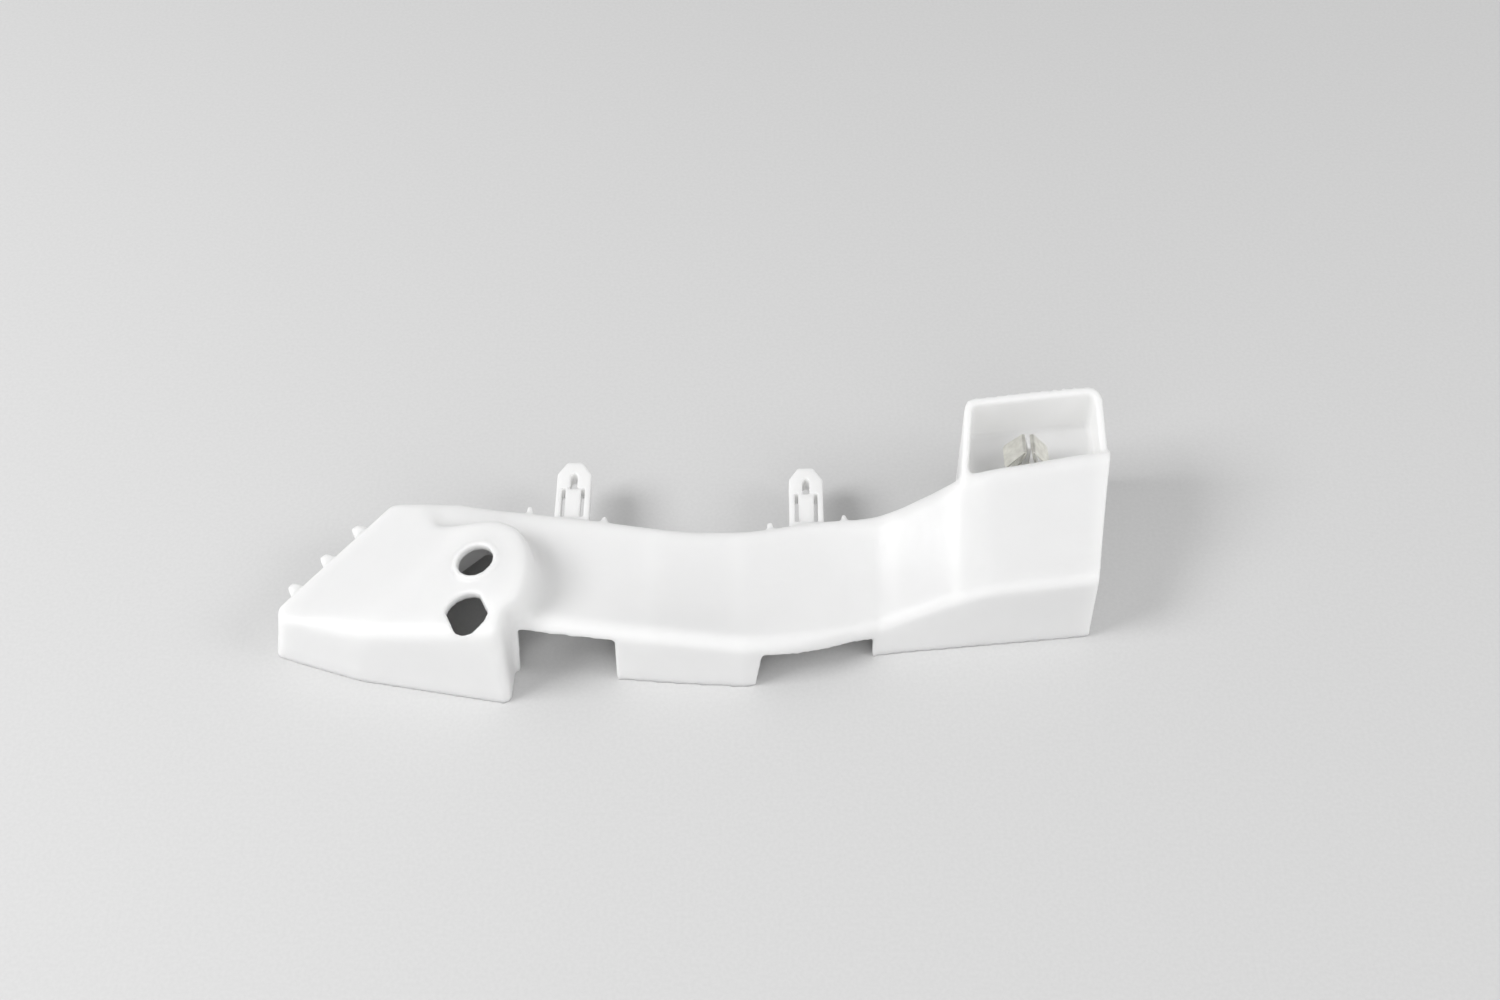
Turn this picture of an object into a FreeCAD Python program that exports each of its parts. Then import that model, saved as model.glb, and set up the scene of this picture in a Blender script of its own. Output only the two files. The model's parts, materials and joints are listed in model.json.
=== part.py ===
import FreeCAD, Part
import Sketcher
import math
import os
import re

# Mounting bracket for a bumper corner: one thin-walled plastic moulding and one steel spring clip.
# Millimetres. X runs along the bracket, Y away from its front skirts, Z up. Z 0 is the plane that
# the skirts stand on.

Vector = FreeCAD.Vector
doc = FreeCAD.newDocument("bumper_bracket")
sheet = doc.addObject("Spreadsheet::Sheet", "Sizes")

# Driving dimensions

SIZES = {
    "wall": 2.4,
    "skirt_lean": 2.2,
    "back_lean": 1.0,
    "lip_radius": 4.0,
    "crest_radius": 3.4,
    "section_pitch": 8.0,
    "below": 2.0,
    "end_x": 99.6,
    "end_yaw": 8.4,
    "arch_one_left": -68.5,
    "arch_one_right": -39.6,
    "arch_one_lean": 0.6,
    "arch_one_left_top": 18.0,
    "arch_one_right_top": 16.0,
    "arch_two_left": 1.4,
    "arch_two_right": 36.6,
    "arch_two_lean": 2.2,
    "arch_two_left_top": 12.0,
    "arch_two_right_top": 6.6,
    "arch_one_back": 11.0,
    "arch_two_back": 16.5,
    "arch_front": 10.0,
    "head_top": 34.0,
    "head_corner_radius": 2.6,
    "head_crown": 1.4,
    "head_edge_radius": 1.5,
    "dome_overhang": 6.0,
    "tower_width": 10.5,
    "tower_length": 23.0,
    "tower_thickness": 5.6,
    "tower_nose_width": 4.6,
    "tower_nose_length": 4.9,
    "tower_nose_radius": 1.2,
    "tower_drop": 5.6,
    "window_width": 2.2,
    "window_length": 5.8,
    "tongue_width": 4.8,
    "tongue_gap": 1.2,
    "tongue_end_gap": 0.6,
    "tongue_length": 12.4,
    "tongue_wedge": 1.6,
    "tongue_thickness": 2.2,
    "nub_width": 1.7,
    "nub_length": 2.4,
    "nub_height": 7.0,
    "nub_offset": 11.4,
    "nub_centre_left": -55.9,
    "nub_centre_right": 17.5,
    "nub_drop": 1.4,
    "nub_sink": 1.0,
    "tooth_pitch": 13.0,
    "tooth_reach": 4.3,
    "tooth_base": 6.0,
    "tooth_tip": 2.4,
    "tooth_height": 2.6,
    "tooth_start": 9.0,
    "tooth_sink": 2.0,
    "tooth_below_top": 1.0,
    "bore_diameter": 10.8,
    "bore_x": -80.6,
    "bore_y": 24.7,
    "bore_height": 29.6,
    "bore_ring_width": 1.2,
    "bore_ring_height": 0.7,
    "slot_diameter": 13.2,
    "slot_flats": 10.4,
    "slot_x": -81.6,
    "slot_y": 7.2,
    "slot_height": 28.0,
    "slot_turn": 26.0,
    "hole_tilt": 11.3,
    "rib_thickness": 1.8,
    "rib_bottom": 11.0,
    "rib_front_y": 4.0,
    "rib_back_y": 57.0,
    "rib_one_x": -30.0,
    "rib_two_x": -4.0,
    "rib_three_x": 44.0,
    "rib_four_x": 62.0,
    "slanting_x": -122.0,
    "slanting_y": -2.0,
    "slanting_length": 62.0,
    "slanting_bottom": 13.0,
    "rim_height": 45.0,
    "pocket_reach": 24.0,
    "rim_front_height": 38.6,
    "pocket_floor": 30.0,
    "pocket_corner": 4.2,
    "blade_thickness": 1.6,
    "blade_width": 4.2,
    "blade_height": 12.6,
    "clip_x": 83.4,
    "clip_setback": 7.04,
    "strip_thickness": 0.5,
    "strip_width": 6.2,
    "clip_height": 11.8,
    "clip_foot_half": 3.6,
    "clip_apex_half": 1.9,
    "leaf_half": 6.4,
    "leaf_drop": 8.6,
    "clip_clearance": 0.15,
}

# Cross-sections of the channel: place along X, then the front lip and the back crest, and the
# radius of the hollow between them.

STATION_WORDS = ("place", "lip_y", "lip_height", "crest_y", "crest_height", "dish")
STATIONS = {
    "boss": (-106.0, 10.5, 20.6, 51.8, 24.6, 90.0),
    "brow": (-95.0, 10.0, 21.6, 52.2, 26.0, 90.0),
    "neck": (-74.0, 8.2, 21.6, 50.8, 22.8, 74.0),
    "left": (-54.7, 6.4, 20.6, 50.2, 20.6, 62.0),
    "middle": (-20.0, 3.4, 18.6, 46.0, 18.8, 58.0),
    "tab": (1.0, 2.2, 16.8, 46.6, 18.0, 60.0),
    "right": (17.4, 5.6, 14.8, 50.4, 17.8, 62.0),
    "saddle": (37.0, 13.8, 10.8, 51.2, 19.0, 70.0),
    "ramp": (50.0, 15.2, 17.0, 51.6, 26.4, 80.0),
    "pocket": (66.0, 16.9, 24.0, 52.4, 39.2, 90.0),
    "shelf": (73.0, 17.7, 24.8, 53.8, 39.6, 90.0),
    "clip": (90.0, 19.4, 25.6, 57.0, 39.8, 90.0),
    "end": (112.0, 22.0, 26.2, 61.2, 40.0, 90.0),
}

# Heights of the domed head at its front and back edges

DOME_WORDS = ("dome_place", "dome_front", "dome_back")
DOMES = {
    "tip": (-146.0, 13.4, 14.4),
    "nose": (-125.0, 17.9, 19.4),
    "brow": (-96.0, 22.8, 26.4),
    "top": (-76.0, 28.0, 30.0),
    "face": (-56.0, 30.4, 31.4),
}

# Corners of the head in plan, at its foot and at the height of its top

HEAD_WORDS = ("foot_x", "foot_y", "top_x", "top_y")
HEAD_CORNERS = {
    "nose": (-141.8, 11.0, -138.4, 15.6),
    "chin": (-116.0, 2.2, -115.2, 7.4),
    "front": (-70.2, -6.2, -71.6, -0.8),
    "cheek": (-69.8, 7.4, -71.0, 7.4),
    "jaw": (-63.6, 8.6, -67.2, 10.6),
    "side": (-59.6, 16.0, -64.4, 18.0),
    "ear": (-59.6, 28.0, -64.4, 27.0),
    "shoulder": (-64.4, 40.0, -68.2, 36.2),
    "temple": (-75.0, 45.0, -75.2, 40.6),
    "notch": (-92.0, 43.6, -93.6, 39.8),
    "back": (-98.0, 55.0, -98.6, 50.4),
    "corner": (-111.2, 54.6, -107.8, 49.8),
    "cut": (-142.2, 17.2, -137.0, 17.0),
}

# Corners of the pocket in plan, and the ribs that cross the channel's hollow side

POCKET_CORNERS = {
    "pocket_front_left": (62.6, 48.6),
    "pocket_front_right": (107.8, 57.2),
    "pocket_back_right": (107.2, 81.2),
    "pocket_back_left": (65.2, 75.0),
}
CUT_DOMES = {"corner": ("nose", "brow"), "cut": ("tip", "nose")}
RIB_PLACES = ("rib_one", "rib_two", "rib_three", "rib_four")


def fill_sheet():
    """Writes every driving dimension into the sheet, one row each."""
    rows = dict(SIZES)
    for name, numbers in STATIONS.items():
        for word, number in zip(STATION_WORDS, numbers):
            rows[word + "_" + name] = number
    for name, numbers in DOMES.items():
        for word, number in zip(DOME_WORDS, numbers):
            rows[word + "_" + name] = number
    for name, numbers in HEAD_CORNERS.items():
        for word, number in zip(HEAD_WORDS, numbers):
            rows[word + "_" + name] = number
    for name, numbers in POCKET_CORNERS.items():
        rows[name + "_x"] = numbers[0]
        rows[name + "_y"] = numbers[1]
    for row, (alias, number) in enumerate(rows.items(), start=1):
        sheet.set("A%d" % row, alias)
        sheet.set("B%d" % row, repr(number))
        sheet.setAlias("B%d" % row, alias)
    doc.recompute()


def size(alias):
    """Reads one driving dimension."""
    return float(sheet.get(alias))


def linked(expression):
    """The same expression with each alias written as a property of the sheet."""
    return re.sub(r"\b[a-z][a-z_]+\b(?!\()", r"Sizes.\g<0>", expression)


def number(expression):
    """The value that an expression of the sheet's aliases has now."""
    return float(sheet.evalExpression(expression))


def bind(thing, **expressions):
    """Ties properties of an object to expressions; two underscores stand for a full stop."""
    for name, expression in expressions.items():
        thing.setExpression(name.replace("__", "."), linked(expression))


def new_body(label):
    body = doc.addObject("PartDesign::Body", label)
    body.Label = label
    return body


def new_sketch(body, name, role, offset=None):
    """A sketch on one of the body's own origin planes, moved along its normal."""
    sketch = body.newObject("Sketcher::SketchObject", name)
    plane = [f for f in body.Origin.OriginFeatures if f.Role == role][0]
    sketch.AttachmentSupport = [(plane, "")]
    sketch.MapMode = "FlatFace"
    if offset is not None:
        sketch.setExpression("AttachmentOffset.Base.z", linked(offset))
    return sketch


def pin(sketch, geometry, position, name, across, up):
    """Ties a point of the sketch to two expressions of the sheet."""
    for axis, expression in (("X", across), ("Y", up)):
        index = sketch.addConstraint(
            Sketcher.Constraint("Distance" + axis, geometry, position, number(expression)))
        sketch.renameConstraint(index, name + axis)
        sketch.setExpression("Constraints." + name + axis, linked(expression))


def polygon(sketch, corners):
    """A closed outline of straight edges whose corners are pairs of expressions."""
    points = [Vector(number(across), number(up), 0) for across, up in corners]
    count = len(points)
    for index in range(count):
        following = points[(index + 1) % count]
        sketch.addGeometry(Part.LineSegment(points[index], following), False)
    for index in range(count):
        sketch.addConstraint(
            Sketcher.Constraint("Coincident", index, 2, (index + 1) % count, 1))
    for index, (across, up) in enumerate(corners):
        pin(sketch, index, 1, "corner%d" % index, across, up)


def plan_sketch(name, corners, placement=None):
    """A polygon that belongs to no body, lying in the XY plane unless it is placed."""
    sketch = doc.addObject("Sketcher::SketchObject", name)
    if placement is not None:
        sketch.Placement = placement
    polygon(sketch, corners)
    return sketch


def named_corners(names):
    return [(name + "_x", name + "_y") for name in names]


def head_corners(level):
    """The corners of the head's outline at its foot or its top."""
    return [("%s_x_%s" % (level, name), "%s_y_%s" % (level, name)) for name in HEAD_CORNERS]


def extrusion(name, base, direction, length, back="0"):
    """A straight block over a closed outline."""
    block = doc.addObject("Part::Extrusion", name)
    block.Base = base
    block.DirMode = "Custom"
    block.Dir = direction
    block.Solid = True
    bind(block, LengthFwd=length, LengthRev=back)
    return block


def moved_outline(name, source, distance, join="Intersection"):
    """The outline moved outwards by a distance, or inwards where that is negative."""
    outline = doc.addObject("Part::Offset2D", name)
    outline.Source = source
    outline.Join = join
    bind(outline, Value=distance)
    return outline


def inward(name, source, distance):
    return moved_outline(name, source, "0 - " + distance)


def round_corners(name, source, radius):
    """The outline with its outer corners rounded."""
    return moved_outline(name, inward(name + "_core", source, radius), radius, "Arc")


def leaning_block(name, foot, top):
    """A solid whose straight sides join an outline below to one above."""
    block = doc.addObject("Part::Loft", name)
    block.Sections = [foot, top]
    block.Solid = True
    block.Ruled = True
    return block


def joined(kind, name, shapes):
    """A boolean of several shapes: Part::MultiFuse or Part::MultiCommon."""
    result = doc.addObject(kind, name)
    result.Shapes = shapes
    return result


def cut(name, base, tool):
    result = doc.addObject("Part::Cut", name)
    result.Base = base
    result.Tool = tool
    return result


def rounded(name, base, choices):
    """Rounds the edges that each test picks out, each with its own radius."""
    doc.recompute()
    edges = []
    for test, radius in choices:
        for index, edge in enumerate(base.Shape.Edges, start=1):
            if test(edge):
                edges.append((index, radius, radius))
    result = doc.addObject("Part::Fillet", name)
    result.Base = base
    result.Edges = edges
    return result


def upright_near(x, y):
    """A test for the edge that rises from a corner of the plan."""
    def test(edge):
        ends = sorted((v.Point for v in edge.Vertexes), key=lambda point: point.z)
        if len(ends) < 2 or ends[-1].z - ends[0].z < 5:
            return False
        return math.hypot(ends[0].x - x, ends[0].y - y) < 0.01
    return test


def add_pad(body, name, sketch, length, both_ways=False):
    pad = body.newObject("PartDesign::Pad", name)
    pad.Profile = sketch
    pad.Midplane = both_ways
    pad.setExpression("Length", linked(length))
    return pad


def add_pocket(body, name, sketch, length, both_ways=False):
    pocket = body.newObject("PartDesign::Pocket", name)
    pocket.Profile = sketch
    pocket.Midplane = both_ways
    pocket.setExpression("Length", linked(length))
    return pocket


def add_loft(body, name, sketches, ruled=False):
    loft = body.newObject("PartDesign::AdditiveLoft", name)
    loft.Profile = sketches[0]
    loft.Sections = sketches[1:]
    loft.Ruled = ruled
    return loft


def tangent_point(point, centre, radius, side):
    """Where the line from a point touches a circle, on the side that is asked for."""
    away = point - centre
    angle = math.atan2(away.y, away.x) + side * math.acos(radius / away.Length)
    return centre + Vector(math.cos(angle), math.sin(angle), 0) * radius


def arc(centre, radius, start, end):
    """The arc that runs anticlockwise from one point of its circle to another."""
    first = math.atan2(start.y - centre.y, start.x - centre.x)
    last = math.atan2(end.y - centre.y, end.x - centre.x)
    if last < first:
        last += 2 * math.pi
    return Part.ArcOfCircle(Part.Circle(centre, Vector(0, 0, 1), radius), first, last)


def at(pair):
    """The point that a pair of expressions gives."""
    return Vector(number(pair[0]), number(pair[1]), 0)


def on_line(word, place):
    """The value that the straight line between two stations gives at a place along X."""
    names = list(STATIONS)
    pairs = list(zip(names, names[1:]))
    here = number(place)
    inside = [pair for pair in pairs if here <= size("place_" + pair[1])]
    first, second = (inside or pairs[-1:])[0]
    run = "(place_%s - place_%s)" % (second, first)
    share = "((%s) - place_%s) / %s" % (place, first, run)
    return "(%s_%s + (%s_%s - %s_%s) * %s)" % (word, first, word, second, word, first, share)


def eased(word, place):
    """A value near a station, with the corner that the straight lines make there rounded off."""
    before = on_line(word, place + " - section_pitch / 2")
    after = on_line(word, place + " + section_pitch / 2")
    return "((%s + 2 * %s + %s) / 4)" % (before, on_line(word, place), after)


def channel_section(body, index, inset, base):
    """One of the cross-sections that stand a pitch apart along the channel."""
    place = "place_boss + section_pitch * %d" % index
    sketch = new_sketch(body, "%s_section_%d" % (body.Name, index), "YZ_Plane", place)
    lip_radius = "lip_radius - " + inset
    crest_radius = "crest_radius - " + inset
    dish_radius = eased("dish", place) + " + " + inset
    lip_y = eased("lip_y", place)
    crest_y = eased("crest_y", place)
    lip = (lip_y + " + lip_radius", eased("lip_height", place) + " - lip_radius")
    crest = (crest_y + " - crest_radius", eased("crest_height", place) + " - crest_radius")
    foot = (lip_y + " - skirt_lean + " + inset, base)
    heel = (crest_y + " + back_lean - " + inset, base)
    near = number(lip_radius)
    far = number(crest_radius)
    hollow = number(dish_radius)
    span = at(crest) - at(lip)
    along = (span.Length ** 2 + (hollow + near) ** 2 - (hollow + far) ** 2) / (2 * span.Length)
    rise = math.sqrt((hollow + near) ** 2 - along ** 2)
    direction = Vector(span).normalize()
    dish = at(lip) + direction * along + Vector(-direction.y, direction.x, 0) * rise
    front = tangent_point(at(foot), at(lip), near, -1)
    back = tangent_point(at(heel), at(crest), far, 1)
    lip_end = at(lip) + Vector(dish - at(lip)).normalize() * near
    crest_end = at(crest) + Vector(dish - at(crest)).normalize() * far
    sketch.addGeometry(Part.LineSegment(at(foot), front), False)
    sketch.addGeometry(arc(at(lip), near, lip_end, front), False)
    sketch.addGeometry(arc(dish, hollow, lip_end, crest_end), False)
    sketch.addGeometry(arc(at(crest), far, back, crest_end), False)
    sketch.addGeometry(Part.LineSegment(back, at(heel)), False)
    sketch.addGeometry(Part.LineSegment(at(heel), at(foot)), False)
    for ends in ((0, 2, 1, 2), (1, 1, 2, 1), (2, 2, 3, 2), (3, 1, 4, 1)):
        sketch.addConstraint(Sketcher.Constraint("Tangent", *ends))
    sketch.addConstraint(Sketcher.Constraint("Coincident", 4, 2, 5, 1))
    sketch.addConstraint(Sketcher.Constraint("Coincident", 5, 2, 0, 1))
    pin(sketch, 1, 3, "lip", *lip)
    pin(sketch, 3, 3, "crest", *crest)
    pin(sketch, 0, 1, "foot", *foot)
    pin(sketch, 4, 2, "heel", *heel)
    radii = ((1, "lip_radius", lip_radius), (2, "dish_radius", dish_radius),
             (3, "crest_radius", crest_radius))
    for geometry, name, radius in radii:
        index = sketch.addConstraint(Sketcher.Constraint("Radius", geometry, number(radius)))
        sketch.renameConstraint(index, name)
        sketch.setExpression("Constraints." + name, linked(radius))
    return sketch


def channel_form(label, inset, base, ruled):
    """The solid channel from under the head to the right end."""
    body = new_body(label)
    count = math.ceil(number("(place_end - place_boss) / section_pitch"))
    sketches = [channel_section(body, index, inset, base) for index in range(count + 1)]
    add_loft(body, label + "_loft", sketches, ruled)
    beyond = doc.addObject("Part::Box", label + "_beyond_end")
    bind(beyond, Length="place_end", Width="crest_y_end * 4", Height="rim_height * 2")
    turn = FreeCAD.Rotation(Vector(0, 0, 1), 0 - size("end_yaw"))
    corner = turn.multVec(Vector(0, 0 - 2 * size("crest_y_end"), 0 - size("below")))
    beyond.Placement = FreeCAD.Placement(
        Vector(number("end_x - " + inset), 0, 0) + corner, turn)
    return cut(label + "_trimmed", body, beyond)


def dome_form(label, inset):
    """A block whose top is the domed surface of the head."""
    body = new_body(label)
    front_y = "foot_y_front - dome_overhang"
    back_y = "foot_y_back + dome_overhang"
    sketches = []
    for dome in DOMES:
        sketch = new_sketch(body, label + "_" + dome, "YZ_Plane", "dome_place_" + dome)
        front = (front_y, "dome_front_%s - %s" % (dome, inset))
        back = (back_y, "dome_back_%s - %s" % (dome, inset))
        crown = ("(%s + %s) / 2" % (front_y, back_y),
                 "(dome_front_%s + dome_back_%s) / 2 + head_crown - %s" % (dome, dome, inset))
        low_front = (front_y, "0 - below")
        low_back = (back_y, "0 - below")
        circle = Part.Circle(at(back), at(crown), at(front))
        sketch.addGeometry(arc(circle.Center, circle.Radius, at(back), at(front)), False)
        sketch.addGeometry(Part.LineSegment(at(front), at(low_front)), False)
        sketch.addGeometry(Part.LineSegment(at(low_front), at(low_back)), False)
        sketch.addGeometry(Part.LineSegment(at(low_back), at(back)), False)
        sketch.addGeometry(Part.Point(at(crown)), True)
        for ends in ((0, 2, 1, 1), (1, 2, 2, 1), (2, 2, 3, 1), (3, 2, 0, 1)):
            sketch.addConstraint(Sketcher.Constraint("Coincident", *ends))
        sketch.addConstraint(Sketcher.Constraint("PointOnObject", 4, 1, 0))
        pin(sketch, 1, 1, "front", *front)
        pin(sketch, 3, 2, "back", *back)
        pin(sketch, 2, 1, "low_front", *low_front)
        pin(sketch, 2, 2, "low_back", *low_back)
        pin(sketch, 4, 1, "crown", *crown)
        sketches.append(sketch)
    add_loft(body, label + "_loft", sketches)
    return body


def head_forms():
    """The head as a solid block and the block that hollows it from below."""
    raised = FreeCAD.Placement(Vector(0, 0, size("head_top")), FreeCAD.Rotation())
    foot = plan_sketch("head_foot", head_corners("foot"))
    top = plan_sketch("head_top_outline", head_corners("top"), raised)
    foot_round = round_corners("head_foot_round", foot, "head_corner_radius")
    top_round = round_corners("head_top_round", top, "head_corner_radius")
    block = leaning_block("head_block", foot_round, top_round)
    outer = joined("Part::MultiCommon", "head_outer", [block, dome_form("dome", "0")])
    foot_inner = inward("head_foot_inner", foot, "wall")
    top_inner = inward("head_top_inner", top, "wall")
    inner_block = leaning_block("head_inner_block", foot_inner, top_inner)
    inner = joined("Part::MultiCommon", "head_inner",
                   [inner_block, dome_form("inner_dome", "wall")])
    return softened("head_soft", outer, "head_edge_radius"), inner


def softened(name, base, radius):
    """Rounds the edge round the top face."""
    def on_top(edge):
        box = edge.BoundBox
        return box.ZMin > size("dome_front_tip") - 3 and box.ZLength < 12
    return rounded(name, base, [(on_top, size(radius))])


def pocket_forms():
    """The clip pocket: its outer block, the cavity above its floor and the hollow below."""
    plan = plan_sketch("pocket_plan", named_corners(POCKET_CORNERS))
    block = extrusion("pocket_block", plan, Vector(0, 0, 1), "rim_height")
    corners = [(upright_near(size(name + "_x"), size(name + "_y")), size("pocket_corner"))
               for name in ("pocket_back_right", "pocket_back_left")]
    smooth_block = rounded("pocket_smooth_block", block, corners)
    front_left = at(("pocket_front_left_x", "pocket_front_left_y"))
    front_right = at(("pocket_front_right_x", "pocket_front_right_y"))
    front_line = front_right - front_left
    heading = FreeCAD.Rotation(Vector(1, 0, 0), front_line)
    facing_along = FreeCAD.Placement(
        front_left, heading.multiply(FreeCAD.Rotation(Vector(1, 1, 1), 120)))
    side = plan_sketch("pocket_side", [
        ("0 - wall", "0 - below"), ("pocket_reach * 2", "0 - below"),
        ("pocket_reach * 2", "rim_height"), ("pocket_reach", "rim_height"),
        ("wall", "rim_front_height"), ("0 - wall", "rim_front_height - wall")], facing_along)
    slope = extrusion("pocket_slope", side, front_line.normalize(),
                      "pocket_front_right_x", "pocket_front_left_x")
    outer = joined("Part::MultiCommon", "pocket_outer", [smooth_block, slope])
    inner_plan = inward("pocket_inner_plan", plan, "wall")
    under = extrusion("pocket_under", inner_plan, Vector(0, 0, 1), "pocket_floor - wall")
    cavity_plan = inward("pocket_cavity_plan", plan, "wall")
    cavity_block = extrusion("pocket_cavity_block", cavity_plan, Vector(0, 0, 1), "rim_height * 2")
    cavity_corners = [
        (upright_near(*inner), size("pocket_corner") - size("wall"))
        for inner in inner_corners(cavity_plan, ("pocket_back_right", "pocket_back_left"))]
    cavity = rounded("pocket_cavity_all", cavity_block, cavity_corners)
    floor = doc.addObject("Part::Box", "pocket_floor_block")
    bind(floor, Length="pocket_front_right_x", Width="pocket_back_right_y",
         Height="pocket_floor")
    return outer, under, cut("pocket_cavity", cavity, floor)


def inner_corners(outline, names):
    """The corners of a moved outline that lie nearest to corners of the first one."""
    doc.recompute()
    points = [v.Point for v in outline.Shape.Vertexes]
    for name in names:
        corner = Vector(size(name + "_x"), size(name + "_y"), 0)
        nearest = min(points, key=lambda point: point.distanceToPoint(corner))
        yield nearest.x, nearest.y


def arches():
    """Blocks that open the two arches between the front skirts."""
    facing_front = FreeCAD.Placement(Vector(0, 0, 0), FreeCAD.Rotation(Vector(1, 0, 0), 90))
    blocks = []
    for arch in ("arch_one", "arch_two"):
        outline = plan_sketch(arch + "_outline", [
            (arch + "_left", "0 - below"), (arch + "_right", "0 - below"),
            (arch + "_right", arch + "_right_top"),
            (arch + "_left + " + arch + "_lean", arch + "_left_top"),
        ], facing_front)
        blocks.append(
            extrusion(arch, outline, Vector(0, 1, 0), arch + "_back", "arch_front"))
    return blocks


def on_nose(edge):
    """Whether an edge stands at one of the four corners of a hoop's nose."""
    box = edge.BoundBox
    nose = size("tower_length") - size("tower_nose_length")
    return box.ZLength > size("tower_thickness") / 2 and box.YMin > nose - size("wall")


def snap_tower(label, station):
    """A hoop with a tapered nose that points back, with a sprung tongue in its window."""
    body = new_body(label)
    sketch = new_sketch(body, label + "_outline", "XY_Plane")
    root = "0 - wall"
    polygon(sketch, [
        ("tower_width / 2", root),
        ("tower_width / 2", "tower_length - tower_nose_length"),
        ("tower_nose_width / 2", "tower_length"),
        ("0 - tower_nose_width / 2", "tower_length"),
        ("0 - tower_width / 2", "tower_length - tower_nose_length"),
        ("0 - tower_width / 2", root)])
    hoop = add_pad(body, label + "_hoop", sketch, "tower_thickness", True)
    doc.recompute()
    nose = [index for index, edge in enumerate(hoop.Shape.Edges, start=1) if on_nose(edge)]
    rounding = body.newObject("PartDesign::Fillet", label + "_nose")
    rounding.Base = (hoop, ["Edge%d" % index for index in nose])
    rounding.setExpression("Radius", linked("tower_nose_radius"))
    opening = new_sketch(body, label + "_opening", "XY_Plane")
    gap_side = "tongue_width / 2 + tongue_gap"
    shoulder = "tongue_length + tongue_end_gap"
    window_end = "tongue_length + tongue_end_gap + window_length"
    polygon(opening, [
        (gap_side, "tongue_gap"),
        (gap_side, "tongue_length"),
        ("window_width / 2", shoulder),
        ("window_width / 2", window_end + " - window_width / 2"),
        ("0", window_end),
        ("0 - window_width / 2", window_end + " - window_width / 2"),
        ("0 - window_width / 2", shoulder),
        ("0 - (%s)" % gap_side, "tongue_length"),
        ("0 - (%s)" % gap_side, "tongue_gap")])
    add_pocket(body, label + "_window", opening, "tower_thickness * 2", True)
    profile = new_sketch(body, label + "_profile", "YZ_Plane")
    polygon(profile, [
        (root, "0 - tongue_thickness / 2"),
        ("tongue_length", "0 - tongue_thickness / 2"),
        ("tongue_length", "tongue_thickness / 2 + tongue_wedge"),
        ("tongue_length - tongue_wedge", "tongue_thickness / 2 + tongue_wedge"),
        (root, "tongue_thickness / 2")])
    add_pad(body, label + "_tongue", profile, "tongue_width", True)
    bind(body, Placement__Base__x="place_" + station, Placement__Base__y="crest_y_" + station,
         Placement__Base__z="crest_height_%s - tower_drop" % station)
    return body


def nubs():
    """Short stand-off ribs on the back wall, one on each side of each tower."""
    blocks = []
    for centre, side in (("left", -1), ("left", 1), ("right", -1), ("right", 1)):
        nub = doc.addObject("Part::Box", "nub_%s_%s" % (centre, "before" if side < 0 else "after"))
        place = "nub_centre_%s + %d * nub_offset" % (centre, side)
        wall_y = on_line("crest_y", place)
        top_z = on_line("crest_height", place)
        bind(nub, Length="nub_width", Width="nub_length + wall + nub_sink",
             Height="nub_height",
             Placement__Base__x=place + " - nub_width / 2",
             Placement__Base__y=wall_y + " - wall - nub_sink",
             Placement__Base__z=top_z + " - nub_drop - nub_height")
        blocks.append(nub)
    return blocks


def along_cut(reach):
    """The point of the head's slanting top edge at a distance from its back corner."""
    corner = surface_point("corner")
    cut_end = surface_point("cut")
    return corner + (cut_end - corner).normalize() * reach


def surface_point(name):
    """Where a corner of the head's outline meets the dome, taking the dome as straight there."""
    foot = at(("foot_x_" + name, "foot_y_" + name))
    top = at(("top_x_" + name, "top_y_" + name))
    top.z = size("head_top")
    near, far = [(size("dome_place_" + dome), size("dome_back_" + dome))
                 for dome in CUT_DOMES[name]]
    slope = (far[1] - near[1]) / (far[0] - near[0])
    height = near[1] + slope * (foot.x - near[0])
    return foot + (top - foot) * (height / size("head_top"))


def teeth():
    """Three small teeth on the slanting left edge of the head."""
    along = (surface_point("cut") - surface_point("corner")).normalize()
    across = Vector(along.y, -along.x, 0).normalize()
    side = (size("tooth_base") - size("tooth_tip")) / 2
    shapes = []
    for index in range(3):
        root = along_cut(size("tooth_start") + index * size("tooth_pitch"))
        root.z = root.z - size("tooth_below_top") - size("tooth_height")
        level = Vector(along.x, along.y, 0).normalize()
        end = root + level * size("tooth_base")
        inside = across * size("tooth_sink")
        outside = across * size("tooth_reach")
        points = [root - inside, root, root + level * side + outside,
                  end - level * side + outside, end, end - inside]
        outline = Part.Face(Part.makePolygon(points + points[:1]))
        tooth = doc.addObject("Part::Feature", "tooth_%s" % "abc"[index])
        tooth.Shape = outline.extrude(Vector(0, 0, size("tooth_height")))
        shapes.append(tooth)
    return shapes


def tilted(x, y, z):
    """A placement on the head's slope, whose own Z stands square to the surface."""
    turn = FreeCAD.Rotation(Vector(0, 1, 0), 0 - size("hole_tilt"))
    return FreeCAD.Placement(Vector(size(x), size(y), size(z)), turn)


def upper_bore():
    """The drilled hole through the head and the raised ring round its mouth."""
    ring = doc.addObject("Part::Cylinder", "bore_ring")
    bind(ring, Radius="bore_diameter / 2 + bore_ring_width", Height="wall + bore_ring_height")
    ring.Placement = tilted("bore_x", "bore_y", "bore_height")
    ring.Placement.Base = ring.Placement.multVec(Vector(0, 0, 0 - size("wall")))
    drill = doc.addObject("Part::Cylinder", "bore_drill")
    bind(drill, Radius="bore_diameter / 2", Height="wall * 6")
    drill.Placement = tilted("bore_x", "bore_y", "bore_height")
    drill.Placement.Base = drill.Placement.multVec(Vector(0, 0, 0 - 3 * size("wall")))
    return ring, drill


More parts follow.
